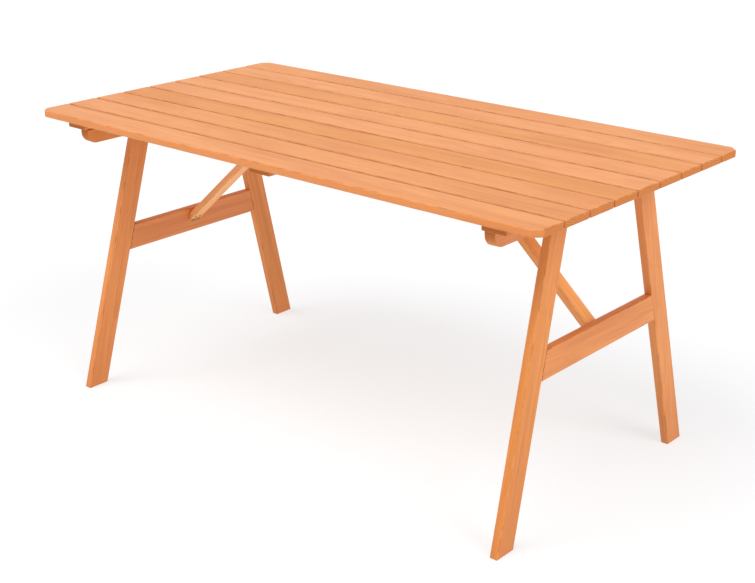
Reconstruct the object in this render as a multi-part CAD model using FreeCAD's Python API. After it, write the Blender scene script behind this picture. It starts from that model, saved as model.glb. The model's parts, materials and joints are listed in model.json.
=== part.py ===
import FreeCAD, Part
import math
import os
from collections import namedtuple

from FreeCAD import Vector

# A folding table of wooden slats on two folding leg frames, each held open by a diagonal brace.
# X runs along the table, Y across it, Z up. The origin is on the floor under the middle of the top.
# All sizes are in millimetres and all angles in degrees.

# Whole table
TABLE_LENGTH = 1500.0
TABLE_WIDTH = 800.0
TABLE_HEIGHT = 740.0

# Slats of the top
SLAT_COUNT = 9
SLAT_GAP = 5.0
SLAT_THICKNESS = 17.0
CORNER_CUT = 19.0
CORNER_ROUND = 6.0
SLAT_TOP_ROUND = 2.6
SLAT_BOTTOM_ROUND = 1.5

# Flat battens that the slats are screwed to
BATTEN_THICKNESS = 17.0
BATTEN_WIDTH = 60.0
BATTEN_SETBACK = 20.0
END_BATTEN_INNER_X = 603.0
EDGE_ROUND = 2.0

# Leg frame, before it leans out about its hinge line
FRAME_LEAN = 1.85
RAIL_THICKNESS = 26.0
RAIL_DEPTH = 38.0
RAIL_LENGTH = 740.0
RAIL_CORNER_ROUND = 27.0
LEG_THICKNESS = 20.0
LEG_WIDTH = 57.0
LEG_SPLAY = 15.1
FOOT_OUTER_Y = 383.0
FRAME_TOP_GAP = 0.8
CROSS_RAIL_BOTTOM = 350.0
CROSS_RAIL_DEPTH = 65.0
LEG_ROUND = 2.5
FOOT_ROUND = 1.5

# Dowels between a cross rail and its legs
DOWEL_RADIUS = 4.0
DOWEL_LENGTH = 40.0
DOWEL_EDGE_DISTANCE = 17.0

# Butt hinges: large ones between the end battens and the leg frames, small ones at the feet of the braces
Hinge = namedtuple("Hinge", [
    "length", "knuckles", "knuckle_radius", "pin_offset", "pin_radius", "pin_head_radius", "leaf_thickness",
    "leaf_width", "screw_length", "screw_reach", "screw_places"])
FRAME_HINGE = Hinge(
    length=60.0, knuckles=5, knuckle_radius=3.25, pin_offset=3.25, pin_radius=1.6, pin_head_radius=2.6,
    leaf_thickness=1.8, leaf_width=15.5, screw_length=15.0, screw_reach=10.0, screw_places=(-20.0, 0.0, 20.0))
BRACE_HINGE = Hinge(
    length=28.0, knuckles=3, knuckle_radius=2.6, pin_offset=2.9, pin_radius=1.25, pin_head_radius=2.1,
    leaf_thickness=1.5, leaf_width=21.0, screw_length=12.0, screw_reach=15.0, screw_places=(-7.0, 7.0))
HINGE_OFFSET_Y = 270.0
PIN_HEAD_LENGTH = 0.8
KNUCKLE_GAP = 0.3

# Diagonal braces: flat boards on the middle line, bevelled at the foot to bear on the cross rail. The
# hinge sits in a recess in the bevel, and its pin lies on the line of the brace's lower face.
BRACE_WIDTH = 38.0
BRACE_THICKNESS = 17.0
BRACE_ANGLE = 41.9
BRACE_PIVOT_DROP = 325.4
BRACE_FOOT_GAP = 0.3
BRACE_ROUND = 2.2
RECESS_HALF_LENGTH = 15.2
RECESS_HEADROOM = 0.6

# Round-headed screws that come in through the lower face of the brace and hold its hinge leaf
FOOT_SCREW_RADIUS = 2.0
FOOT_SCREW_HEAD_RADIUS = 3.7
FOOT_SCREW_HEAD_HEIGHT = 2.4
FOOT_SCREW_LENGTH = 6.2
FOOT_SCREW_SEAT = 6.8
FOOT_SCREW_RISE = 10.5
FOOT_SCREW_SINK_RADIUS = 4.2

# Pressed steel catches under the middle slat
PLATE_THICKNESS = 3.0
PLATE_SIDE_GAP = 0.3
EYE_RADIUS = 9.0
CATCH_DROP = 18.2
CATCH_FOOT_INNER = 16.0
CATCH_FOOT_OUTER = 30.0
CATCH_FOOT_WIDTH = 20.5
CATCH_SHOULDER = 20.0
CATCH_SLOT_SLOPE = 23.0
CATCH_SLOT_LENGTH = 30.0

# Fasteners
BOLT_RADIUS = 3.0
BOLT_HEAD_RADIUS = 7.0
BOLT_HEAD_HEIGHT = 3.4
WASHER_RADIUS = 6.4
WASHER_THICKNESS = 1.2
NUT_FLAT_TO_FLAT = 10.0
NUT_HEIGHT = 5.0
BOLT_END = 2.0
NUT_SINK = 8.4
NUT_SINK_RADIUS = 7.4
RUNNING_CLEARANCE = 0.06
SLOT_CLEARANCE = 0.3
LEG_BOLT_SPREAD_Y = 14.0
LEG_BOLT_SPREAD_Z = 7.0
SCREW_RADIUS = 1.9
SLAT_SCREW_LENGTH = 29.0
SLAT_SCREW_SPREAD_Y = 10.0
SLAT_SCREW_SPREAD_X = 14.0
PLATE_SCREW_LENGTH = 15.0
SCREW_HEAD_RADIUS = 3.6
WING_HUB_RADIUS = 5.6
WING_HUB_HEIGHT = 8.0
WING_REACH = 14.0
WING_HEIGHT = 11.0
WING_THICKNESS = 2.6
WING_TIP_RADIUS = 4.5

# Places that follow from the sizes above
SLAT_WIDTH = (TABLE_WIDTH - (SLAT_COUNT - 1) * SLAT_GAP) / SLAT_COUNT
SLAT_PITCH = SLAT_WIDTH + SLAT_GAP
SLAT_UNDERSIDE = TABLE_HEIGHT - SLAT_THICKNESS
BATTEN_UNDERSIDE = SLAT_UNDERSIDE - BATTEN_THICKNESS
BATTEN_HALF_LENGTH = TABLE_WIDTH / 2 - BATTEN_SETBACK
HINGE_X = END_BATTEN_INNER_X - FRAME_HINGE.pin_offset
HINGE_Z = BATTEN_UNDERSIDE
HINGE_POINT = Vector(HINGE_X, 0, HINGE_Z)
RAIL_OUTER_X = END_BATTEN_INNER_X + RAIL_THICKNESS
LEG_OUTER_X = RAIL_OUTER_X + LEG_THICKNESS
LEG_LEVEL_WIDTH = LEG_WIDTH / math.cos(math.radians(LEG_SPLAY))
LEG_SLOPE = math.tan(math.radians(LEG_SPLAY))
BRACE_END_RADIUS = BRACE_THICKNESS / 2
PLATE_INNER_Y = BRACE_WIDTH / 2 + PLATE_SIDE_GAP
PLATE_OUTER_Y = PLATE_INNER_Y + PLATE_THICKNESS
PIVOT_UPRIGHT = Vector(RAIL_OUTER_X - BRACE_HINGE.pin_offset, 0, HINGE_Z - BRACE_PIVOT_DROP)
CATCH_Z = SLAT_UNDERSIDE - CATCH_DROP
BRACE_ALONG = Vector(-math.cos(math.radians(BRACE_ANGLE)), 0, math.sin(math.radians(BRACE_ANGLE)))
BRACE_ACROSS = Vector(BRACE_ALONG.z, 0, -BRACE_ALONG.x)

X_AXIS = Vector(1, 0, 0)
Y_AXIS = Vector(0, 1, 0)
Z_AXIS = Vector(0, 0, 1)
ORIGIN = Vector(0, 0, 0)
HALF_TURN = 180.0


# ---- helpers ----

def box(x_range, y_range, z_range):
    """Square-edged block between the given limits."""
    size = [high - low for low, high in (x_range, y_range, z_range)]
    return Part.makeBox(*size, Vector(x_range[0], y_range[0], z_range[0]))


def board(x_range, y_range, z_range, edge_round):
    """Block with every edge rounded."""
    block = box(x_range, y_range, z_range)
    return block.makeFillet(edge_round, block.Edges)


def plate(points, direction):
    """Flat outline of straight edges, pushed out along direction."""
    return Part.Face(Part.makePolygon(points + points[:1])).extrude(direction)


def eye_plate(eye_x, eye_z, start, end, y_near, y_far):
    """Plate in the XZ plane: a round eye joined to the straight stretch from start to end."""
    left, right = (Vector(x, y_near, z) for x, z in (start, end))
    away = Vector(eye_x, y_near, eye_z) - (left + right) / 2
    away.normalize()
    across = Vector(-away.z, 0, away.x)
    centre = Vector(eye_x, y_near, eye_z)
    near_left = min((centre + across * EYE_RADIUS, centre - across * EYE_RADIUS), key=left.distanceToPoint)
    near_right = centre * 2 - near_left
    edges = [
        Part.makeLine(left, near_left),
        Part.Arc(near_left, centre + away * EYE_RADIUS, near_right).toShape(),
        Part.makeLine(near_right, right),
        Part.makeLine(right, left),
    ]
    return Part.Face(Part.Wire(edges)).extrude(Vector(0, y_far - y_near, 0))


def rod(radius, start, end):
    """Round bar from start to end."""
    return Part.makeCylinder(radius, (end - start).Length, start, end - start)


def aimed(shape, start, direction):
    """Copy of a shape made along +Z, moved to start and turned along direction."""
    turned = shape.copy()
    turned.Placement = FreeCAD.Placement(start, FreeCAD.Rotation(Z_AXIS, direction))
    return turned


def cut_out(shape, tools):
    """Shape less every tool."""
    for tool in tools:
        shape = shape.cut(tool)
    return shape


def leaned(shape):
    """Copy turned outwards about the hinge line, as a leg frame stands when it is open."""
    turned = shape.copy()
    turned.rotate(HINGE_POINT, Y_AXIS, -FRAME_LEAN)
    return turned


def half_turned(shape):
    """Copy turned half way round the vertical axis: the same piece at the other end of the table."""
    turned = shape.copy()
    turned.rotate(ORIGIN, Z_AXIS, HALF_TURN)
    return turned


def moved(shape, step):
    """Copy shifted by a vector."""
    shifted = shape.copy()
    shifted.translate(step)
    return shifted


def export(node, solids):
    """Write one node, as a single solid or as a group of separate solids."""
    shape = solids[0] if len(solids) == 1 else Part.makeCompound(solids)
    shape.exportStep("parts/" + node + ".step")


# ---- fasteners, all made along +Z from the underside of the head ----

def wood_screw(length, head_radius=SCREW_HEAD_RADIUS):
    """Countersunk screw whose flat head starts at the origin."""
    cone = head_radius - SCREW_RADIUS
    profile = [
        Vector(0, 0, 0),
        Vector(head_radius, 0, 0),
        Vector(SCREW_RADIUS, 0, cone),
        Vector(SCREW_RADIUS, 0, length - 2 * SCREW_RADIUS),
        Vector(0, 0, length),
    ]
    return Part.Face(Part.makePolygon(profile + profile[:1])).revolve(Vector(0, 0, 0), Z_AXIS, 360)


def domed_bolt(grip, radius, head_radius, head_height):
    """Bolt with a round domed head below the origin and a shank of the given length above it."""
    dome_radius = (head_radius ** 2 + head_height ** 2) / (2 * head_height)
    dome = Part.makeSphere(dome_radius, Vector(0, 0, dome_radius - head_height))
    dome = dome.common(Part.makeCylinder(head_radius, head_height, Vector(0, 0, -head_height)))
    return dome.fuse(Part.makeCylinder(radius, grip)).removeSplitter()


def countersunk_bolt(length):
    """Bolt whose flat cone head starts at the origin."""
    head = Part.makeCone(2 * BOLT_RADIUS, BOLT_RADIUS, BOLT_RADIUS)
    return head.fuse(Part.makeCylinder(BOLT_RADIUS, length)).removeSplitter()


def washer():
    """Flat ring that is tight on a bolt."""
    ring = Part.makeCylinder(WASHER_RADIUS, WASHER_THICKNESS)
    return ring.cut(Part.makeCylinder(BOLT_RADIUS, WASHER_THICKNESS))


def hex_nut():
    """Six-sided nut above a washer."""
    corner = NUT_FLAT_TO_FLAT / math.sqrt(3)
    turns = [math.radians(60 * side) for side in range(6)]
    corners = [Vector(corner * math.cos(turn), corner * math.sin(turn), WASHER_THICKNESS) for turn in turns]
    body = plate(corners, Vector(0, 0, NUT_HEIGHT))
    ball = Part.makeSphere(corner * 1.06, Vector(0, 0, WASHER_THICKNESS + NUT_HEIGHT / 2))
    return body.common(ball).cut(Part.makeCylinder(BOLT_RADIUS, WASHER_THICKNESS + NUT_HEIGHT))


def wing_nut():
    """Hub that tapers away from the plate, with a rounded wing on each side."""
    hub = Part.makeCone(WING_HUB_RADIUS, WING_HUB_RADIUS - 1, WING_HUB_HEIGHT)
    shape = hub
    for side in (-1, 1):
        tip = Vector(side * (WING_REACH - WING_TIP_RADIUS), -WING_THICKNESS / 2,
                     WING_HEIGHT - WING_TIP_RADIUS)
        lobe = Part.makeCylinder(WING_TIP_RADIUS, WING_THICKNESS, tip, Y_AXIS)
        root = [(0, 1), (0, WING_HUB_HEIGHT), (tip.x, WING_HEIGHT), (tip.x + side * WING_TIP_RADIUS, tip.z)]
        web = plate([Vector(x, -WING_THICKNESS / 2, z) for x, z in root], Vector(0, WING_THICKNESS, 0))
        shape = shape.fuse([lobe, web])
    bore = Part.makeCylinder(BOLT_RADIUS + RUNNING_CLEARANCE, WING_HEIGHT)
    return shape.cut(bore).removeSplitter()


# ---- table top ----

def slat(number):
    """One slat; the two outer slats have their outer corners cut off."""
    y_low = -TABLE_WIDTH / 2 + (number - 1) * SLAT_PITCH
    y_high = y_low + SLAT_WIDTH
    cut_low = CORNER_CUT if number == 1 else 0
    cut_high = CORNER_CUT if number == SLAT_COUNT else 0
    end = TABLE_LENGTH / 2
    outline = []
    for x_side, y_side in ((-1, -1), (1, -1), (1, 1), (-1, 1)):
        y, cut = (y_low, cut_low) if y_side < 0 else (y_high, cut_high)
        along = Vector(x_side * (end - cut), y, SLAT_UNDERSIDE)
        inward = Vector(x_side * end, y - y_side * cut, SLAT_UNDERSIDE)
        corner = [inward, along] if x_side * y_side > 0 else [along, inward]
        outline += corner if cut else corner[:1]
    body = plate(outline, Vector(0, 0, SLAT_THICKNESS))
    if cut_low or cut_high:
        upright = [edge for edge in body.Edges if is_cut_corner(edge)]
        body = body.makeFillet(CORNER_ROUND, upright)
    body = body.makeFillet(SLAT_TOP_ROUND, level_edges(body, TABLE_HEIGHT))
    return body.makeFillet(SLAT_BOTTOM_ROUND, level_edges(body, SLAT_UNDERSIDE))


def is_cut_corner(edge):
    """True for an upright edge at either end of a cut-off corner of the top."""
    first, last = edge.Vertexes[0].Point, edge.Vertexes[-1].Point
    upright = abs(first.z - last.z) > SLAT_THICKNESS / 2
    to_end = TABLE_LENGTH / 2 - abs(first.x)
    to_side = TABLE_WIDTH / 2 - abs(first.y)
    return upright and abs(to_end + to_side - CORNER_CUT) < 0.01


def level_edges(shape, height):
    """Edges of a shape that lie at one height."""
    return [edge for edge in shape.Edges
            if max(abs(edge.BoundBox.ZMin - height), abs(edge.BoundBox.ZMax - height)) < 0.01]


def batten(x_low, x_high):
    """Flat board across the underside of the slats."""
    return board((x_low, x_high), (-BATTEN_HALF_LENGTH, BATTEN_HALF_LENGTH),
                 (BATTEN_UNDERSIDE, SLAT_UNDERSIDE), EDGE_ROUND)


def slat_screws(batten_x):
    """Screws up through a batten, two into every slat."""
    screw = wood_screw(SLAT_SCREW_LENGTH)
    screws = []
    for number in range(SLAT_COUNT):
        y_middle = (number - (SLAT_COUNT - 1) / 2) * SLAT_PITCH
        for side in (-1, 1):
            place = Vector(batten_x + side * SLAT_SCREW_SPREAD_X, y_middle + side * SLAT_SCREW_SPREAD_Y,
                           BATTEN_UNDERSIDE)
            screws.append(aimed(screw, place, Z_AXIS))
    return screws


# ---- butt hinges, made with the pin along Y through the origin ----

def knuckle_spans(hinge, outer):
    """Y limits of one leaf's knuckles; the outer leaf has the first and the last."""
    pitch = hinge.length / hinge.knuckles
    starts = [-hinge.length / 2 + pitch * place for place in range(0 if outer else 1, hinge.knuckles, 2)]
    return [(start + KNUCKLE_GAP / 2, start + pitch - KNUCKLE_GAP / 2) for start in starts]


def leaf_screws(hinge):
    """Screws through a leaf that hangs from the pin against a wall on its +X side."""
    screw = wood_screw(hinge.screw_length, hinge.leaf_thickness + SCREW_RADIUS)
    head_x = hinge.pin_offset - hinge.leaf_thickness
    return [aimed(screw, Vector(head_x, y, -hinge.screw_reach), X_AXIS) for y in hinge.screw_places]


def hinge_leaf(hinge, outer, screws):
    """Leaf with its rolled knuckles, hanging from the pin; the outer leaf grips it, the inner one turns."""
    radius = hinge.knuckle_radius
    half = hinge.length / 2
    leaf = box((hinge.pin_offset - hinge.leaf_thickness, hinge.pin_offset), (-half, half),
               (-hinge.leaf_width, 0))
    for low, high in knuckle_spans(hinge, not outer):
        room = rod(radius + KNUCKLE_GAP, Y_AXIS * (low - KNUCKLE_GAP), Y_AXIS * (high + KNUCKLE_GAP))
        leaf = leaf.cut(room)
    for low, high in knuckle_spans(hinge, outer):
        leaf = leaf.fuse(rod(radius, Y_AXIS * low, Y_AXIS * high))
    bore_radius = hinge.pin_radius + (0 if outer else RUNNING_CLEARANCE)
    bore = rod(bore_radius, Y_AXIS * -hinge.length, Y_AXIS * hinge.length)
    return cut_out(leaf.cut(bore).removeSplitter(), screws)


def hinge_pin(hinge):
    """Pin with a small head at each end."""
    half = hinge.length / 2
    pin = rod(hinge.pin_radius, Y_AXIS * -half, Y_AXIS * half)
    for side in (-1, 1):
        start = Y_AXIS * (side * half)
        pin = pin.fuse(rod(hinge.pin_head_radius, start, start + Y_AXIS * (side * PIN_HEAD_LENGTH)))
    return pin.removeSplitter()


def on_frame_hinges(shapes, upward=False):
    """Copies of hinge parts at both frame hinges of the +X end, hanging down or turned upwards."""
    placed = []
    for y in (-HINGE_OFFSET_Y, HINGE_OFFSET_Y):
        for shape in shapes:
            turned = shape.copy()
            turned.rotate(ORIGIN, X_AXIS, HALF_TURN if upward else 0)
            placed.append(moved(turned, Vector(HINGE_X, y, HINGE_Z)))
    return placed


def on_brace_foot(shape):
    """Copy of a hanging hinge part, turned up against the bevelled foot of the brace."""
    turned = shape.copy()
    turned.rotate(ORIGIN, Y_AXIS, HALF_TURN)
    return leaned(moved(turned, PIVOT_UPRIGHT))


def on_cross_rail(shape):
    """Copy of a hanging hinge part, turned up on the inner face of the cross rail."""
    turned = shape.copy()
    turned.rotate(ORIGIN, X_AXIS, HALF_TURN)
    return leaned(moved(turned, PIVOT_UPRIGHT))


def foot_screws():
    """Screws for a hanging hinge leaf that come in from behind the wall on its +X side."""
    screw = domed_bolt(FOOT_SCREW_LENGTH, FOOT_SCREW_RADIUS, FOOT_SCREW_HEAD_RADIUS, FOOT_SCREW_HEAD_HEIGHT)
    return [aimed(screw, Vector(FOOT_SCREW_SEAT, y, -FOOT_SCREW_RISE), -X_AXIS)
            for y in BRACE_HINGE.screw_places]


# ---- leg frame at the +X end, made upright; leaned() then tips it out ----

def leg_outer_y(z):
    """Distance of a leg's outer edge from the middle, at one height."""
    return FOOT_OUTER_Y - z * LEG_SLOPE


def between_floor_and_batten(shape):
    """The part of a shape from the floor up to just under the battens."""
    reach = (-TABLE_LENGTH, TABLE_LENGTH)
    return shape.common(box(reach, reach, (0, BATTEN_UNDERSIDE - FRAME_TOP_GAP)))


def leg(y_side):
    """Splayed leg, cut level at the floor and at the top."""
    overrun = 60.0
    outer = Vector(RAIL_OUTER_X, y_side * leg_outer_y(0), 0)
    y_range = sorted((outer.y, outer.y - y_side * LEG_WIDTH))
    blank = board((RAIL_OUTER_X, LEG_OUTER_X), y_range, (-overrun, TABLE_HEIGHT + overrun), LEG_ROUND)
    blank.rotate(outer, X_AXIS, y_side * LEG_SPLAY)
    return between_floor_and_batten(leaned(blank))


def softened_foot(shape):
    """Leg with the edges of its foot slightly rounded."""
    return shape.makeFillet(FOOT_ROUND, level_edges(shape, 0))


def top_rail():
    """Rail on edge across the tops of the legs, with round lower corners."""
    half = RAIL_LENGTH / 2
    z_low = HINGE_Z - RAIL_DEPTH
    blank = box((END_BATTEN_INNER_X, RAIL_OUTER_X), (-half, half), (z_low, HINGE_Z + EDGE_ROUND))
    corners = [edge for edge in level_edges(blank, z_low) if abs(edge.BoundBox.YMin - edge.BoundBox.YMax) < 1]
    blank = blank.makeFillet(RAIL_CORNER_ROUND, corners)
    rims = [edge for edge in blank.Edges if edge.BoundBox.XLength < 1 and edge.BoundBox.ZMax < HINGE_Z + 1]
    blank = blank.makeFillet(EDGE_ROUND, rims)
    return between_floor_and_batten(leaned(blank))


def cross_rail():
    """Rail between the legs, flush with them, with its ends cut to their slope."""
    z_low, z_high = CROSS_RAIL_BOTTOM, CROSS_RAIL_BOTTOM + CROSS_RAIL_DEPTH
    outline = []
    for y_side, z in ((-1, z_low), (1, z_low), (1, z_high), (-1, z_high)):
        outline.append(Vector(RAIL_OUTER_X, y_side * (leg_outer_y(z) - LEG_LEVEL_WIDTH), z))
    blank = plate(outline, Vector(LEG_THICKNESS, 0, 0))
    long_edges = [edge for edge in blank.Edges if edge.BoundBox.YLength > CROSS_RAIL_DEPTH]
    return leaned(blank.makeFillet(EDGE_ROUND, long_edges))


def rail_dowels():
    """Two dowels in each end of the cross rail, half in the rail and half in the leg."""
    dowels = []
    for z in (CROSS_RAIL_BOTTOM + DOWEL_EDGE_DISTANCE,
              CROSS_RAIL_BOTTOM + CROSS_RAIL_DEPTH - DOWEL_EDGE_DISTANCE):
        for y_side in (-1, 1):
            joint = Vector((RAIL_OUTER_X + LEG_OUTER_X) / 2, y_side * (leg_outer_y(z) - LEG_LEVEL_WIDTH), z)
            half = Vector(0, DOWEL_LENGTH / 2, 0)
            dowels.append(leaned(rod(DOWEL_RADIUS, joint - half, joint + half)))
    return dowels


def leg_bolt_places():
    """Points on the outer face of the legs where they are bolted to the top rail."""
    z_middle = HINGE_Z - RAIL_DEPTH / 2
    y_middle = leg_outer_y(z_middle) - LEG_LEVEL_WIDTH / 2
    places = []
    for y_side in (-1, 1):
        for step in (-1, 1):
            y = y_side * (y_middle + step * LEG_BOLT_SPREAD_Y)
            places.append(Vector(LEG_OUTER_X, y, z_middle + step * LEG_BOLT_SPREAD_Z))
    return places


def leg_bolts():
    """Domed bolts through legs and top rail, heads outside."""
    grip = LEG_THICKNESS + RAIL_THICKNESS - NUT_SINK + WASHER_THICKNESS + NUT_HEIGHT + BOLT_END
    bolt = domed_bolt(grip, BOLT_RADIUS, BOLT_HEAD_RADIUS, BOLT_HEAD_HEIGHT)
    return [leaned(aimed(bolt, place, -X_AXIS)) for place in leg_bolt_places()]


def nut_seats():
    """Centres of the washers' seats, sunk into the inner face of the top rail."""
    through = Vector(LEG_THICKNESS + RAIL_THICKNESS - NUT_SINK, 0, 0)
    return [place - through for place in leg_bolt_places()]


def nut_pockets():
    """Round pockets in the top rail that the washers and nuts sit in."""
    pocket = Part.makeCylinder(NUT_SINK_RADIUS, 2 * NUT_SINK)
    return [leaned(aimed(pocket, seat, -X_AXIS)) for seat in nut_seats()]


def leg_nuts():
    """A washer and a nut for every leg bolt, below the inner face of the top rail."""
    return [leaned(aimed(piece, seat, -X_AXIS)) for seat in nut_seats() for piece in (washer(), hex_nut())]


# ---- brace at the +X end ----

def pivot_point():
    """Pin of the brace's hinge, with the leg frame leaning out."""
    drop = FreeCAD.Rotation(Y_AXIS, -FRAME_LEAN).multVec(PIVOT_UPRIGHT - HINGE_POINT)
    return HINGE_POINT + drop


def catch_point():
    """Catch bolt under the middle slat, on the middle line of the brace."""
    start = pivot_point() + BRACE_ACROSS * BRACE_END_RADIUS
    return start + BRACE_ALONG * ((CATCH_Z - start.z) / BRACE_ALONG.z)


def foot_tools():
    """What is cut off the foot: a bevel at the rail, a nose about the pin, a recess for the hinge, sinks."""
    pin = PIVOT_UPRIGHT
    nose = BRACE_HINGE.pin_offset - BRACE_FOOT_GAP
    side = Y_AXIS * BRACE_WIDTH
    reach = (-BRACE_WIDTH, BRACE_WIDTH)
    beyond_rail = box((pin.x + nose, TABLE_LENGTH), reach, (0, BATTEN_UNDERSIDE))
    below_pin = box((pin.x, TABLE_LENGTH), reach, (0, pin.z)).cut(rod(nose, pin - side, pin + side))
    recess = box((pin.x - BRACE_HINGE.pin_offset, TABLE_LENGTH), (-RECESS_HALF_LENGTH, RECESS_HALF_LENGTH),
                 (0, pin.z + BRACE_HINGE.leaf_width + RECESS_HEADROOM))
    sink = Part.makeCylinder(FOOT_SCREW_SINK_RADIUS, BRACE_WIDTH)
    sinks = [aimed(sink, Vector(FOOT_SCREW_SEAT, y, -FOOT_SCREW_RISE), X_AXIS)
             for y in BRACE_HINGE.screw_places]
    return ([leaned(tool) for tool in (beyond_rail, below_pin, recess)]
            + [on_brace_foot(tool) for tool in sinks])


def brace():
    """Flat board, round at the catch and bevelled at the foot to lie against the cross rail."""
    pivot, catch = pivot_point(), catch_point()
    side = Y_AXIS * (-BRACE_WIDTH / 2)
    across = BRACE_ACROSS * BRACE_END_RADIUS
    low = catch - BRACE_ALONG * ((catch - pivot).Length + BRACE_WIDTH) + side
    high = catch + side
    edges = [
        Part.makeLine(low + across, high + across),
        Part.Arc(high + across, high + BRACE_ALONG * BRACE_END_RADIUS, high - across).toShape(),
        Part.makeLine(high - across, low - across),
        Part.makeLine(low - across, low + across),
    ]
    bar = Part.Face(Part.Wire(edges)).extrude(Y_AXIS * BRACE_WIDTH)
    rims = [edge for edge in bar.Edges if edge.BoundBox.YLength < 1 and edge.BoundBox.ZMax > pivot.z]
    bar = bar.makeFillet(BRACE_ROUND, rims)
    return cut_out(bar, foot_tools() + [catch_bolt()])


# ---- catch at the +X end ----

def catch_bracket():
    """Angle bracket under the middle slat, with a slot that the catch bolt slides into."""
    catch = catch_point()
    foot_x = (catch.x - CATCH_FOOT_INNER, catch.x + CATCH_FOOT_OUTER)
    foot = box(foot_x, (-PLATE_INNER_Y - CATCH_FOOT_WIDTH, -PLATE_INNER_Y),
               (SLAT_UNDERSIDE - PLATE_THICKNESS, SLAT_UNDERSIDE))
    hook = eye_plate(catch.x, catch.z, (catch.x - EYE_RADIUS, SLAT_UNDERSIDE),
                     (catch.x + CATCH_SHOULDER, SLAT_UNDERSIDE), -PLATE_OUTER_Y, -PLATE_INNER_Y)
    slot_radius = BOLT_RADIUS + SLOT_CLEARANCE
    seat = rod(slot_radius, catch - Vector(0, PLATE_OUTER_Y, 0), catch - Vector(0, PLATE_INNER_Y, 0))
    mouth = box((-CATCH_SLOT_LENGTH, 0), (-PLATE_OUTER_Y, -PLATE_INNER_Y), (-slot_radius, slot_radius))
    mouth.rotate(Vector(0, 0, 0), Y_AXIS, -CATCH_SLOT_SLOPE)
    mouth.translate(catch)
    return foot.fuse(hook).cut(seat.fuse(mouth)).removeSplitter()


def catch_screws():
    """Screws up through the catch bracket's foot into the middle slat."""
    catch = catch_point()
    screw = wood_screw(PLATE_SCREW_LENGTH)
    y = -(PLATE_OUTER_Y + PLATE_INNER_Y + CATCH_FOOT_WIDTH) / 2
    inset = EYE_RADIUS - 1
    places = (catch.x - CATCH_FOOT_INNER + inset, catch.x + CATCH_FOOT_OUTER - inset)
    return [aimed(screw, Vector(x, y, SLAT_UNDERSIDE - PLATE_THICKNESS), Z_AXIS) for x in places]


def catch_bolt():
    """Bolt across the brace's upper end: head flush in one edge, end long enough for the wing nut."""
    catch = catch_point()
    half = BRACE_WIDTH / 2
    length = half + PLATE_OUTER_Y + SLOT_CLEARANCE + WING_HEIGHT + BOLT_END
    return aimed(countersunk_bolt(length), catch + Y_AXIS * half, -Y_AXIS)


def catch_wing_nut():
    """Wing nut on the catch bolt, outside the catch bracket."""
    place = catch_point() - Vector(0, PLATE_OUTER_Y + SLOT_CLEARANCE, 0)
    return aimed(wing_nut(), place, -Y_AXIS)


# ---- the table ----

def table_top():
    """Nodes of the top, apart from the hinge leaves and catches."""
    half = BATTEN_WIDTH / 2
    end_middle = END_BATTEN_INNER_X + half
    battens = {"left": -end_middle, "centre": 0.0, "right": end_middle}
    screws = {name: slat_screws(x) for name, x in battens.items()}
    hinge_tools = on_frame_hinges(leaf_screws(FRAME_HINGE), upward=True)
    hinge_tools += [half_turned(tool) for tool in hinge_tools]
    catch_tools = catch_screws() + [half_turned(tool) for tool in catch_screws()]
    nodes = {}
    for number in range(1, SLAT_COUNT + 1):
        body = slat(number)
        near = [tool for group in screws.values() for tool in group + catch_tools
                if tool.BoundBox.intersect(body.BoundBox)]
        nodes["slat_%d" % number] = [cut_out(body, near)]
    for name, x in battens.items():
        body = cut_out(batten(x - half, x + half), screws[name] + hinge_tools)
        nodes[name + "_batten"] = [body]
        nodes["slat_screws_" + name] = screws[name]
    return nodes


def end_assembly():
    """Nodes at the +X end: hinges, leg frame, brace and catch."""
    top_screws = on_frame_hinges(leaf_screws(FRAME_HINGE), upward=True)
    frame_screws = [leaned(screw) for screw in on_frame_hinges(leaf_screws(FRAME_HINGE))]
    top_leaf = hinge_leaf(FRAME_HINGE, True, leaf_screws(FRAME_HINGE))
    frame_leaves = on_frame_hinges([hinge_leaf(FRAME_HINGE, False, leaf_screws(FRAME_HINGE))])
    arm_screws = [on_brace_foot(screw) for screw in foot_screws()]
    rail_screws = [on_cross_rail(screw) for screw in leaf_screws(BRACE_HINGE)]
    legs = {side: cut_out(softened_foot(leg(side)), leg_bolts() + rail_dowels()) for side in (-1, 1)}
    return {
        "hinge_top_leaves": on_frame_hinges([top_leaf], upward=True),
        "hinge_top_screws": top_screws,
        "hinge_frame_leaves": [leaned(leaf) for leaf in frame_leaves],
        "hinge_frame_screws": frame_screws,
        "hinge_pins": on_frame_hinges([hinge_pin(FRAME_HINGE)]),
        "top_rail": [cut_out(top_rail(), leg_bolts() + nut_pockets() + frame_screws)],
        "leg_near": [legs[-1]],
        "leg_far": [legs[1]],
        "cross_rail": [cut_out(cross_rail(), rail_dowels() + rail_screws)],
        "rail_dowels": rail_dowels(),
        "leg_bolts": leg_bolts(),
        "leg_nuts": leg_nuts(),
        "brace": [cut_out(brace(), arm_screws)],
        "brace_hinge_rail_leaf": [on_cross_rail(hinge_leaf(BRACE_HINGE, True, leaf_screws(BRACE_HINGE)))],
        "brace_hinge_rail_screws": rail_screws,
        "brace_hinge_arm_leaf": [on_brace_foot(hinge_leaf(BRACE_HINGE, False, foot_screws()))],
        "brace_hinge_arm_screws": arm_screws,
        "brace_hinge_pin": [on_cross_rail(hinge_pin(BRACE_HINGE))],
        "catch_bracket": [cut_out(catch_bracket(), catch_screws())],
        "catch_screws": catch_screws(),
        "catch_bolt": [catch_bolt()],
        "wing_nut": [catch_wing_nut()],
    }


LEG_NAMES = {
    "right": {"leg_near": "front_leg", "leg_far": "back_leg"},
    "left": {"leg_near": "back_leg", "leg_far": "front_leg"},
}

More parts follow.
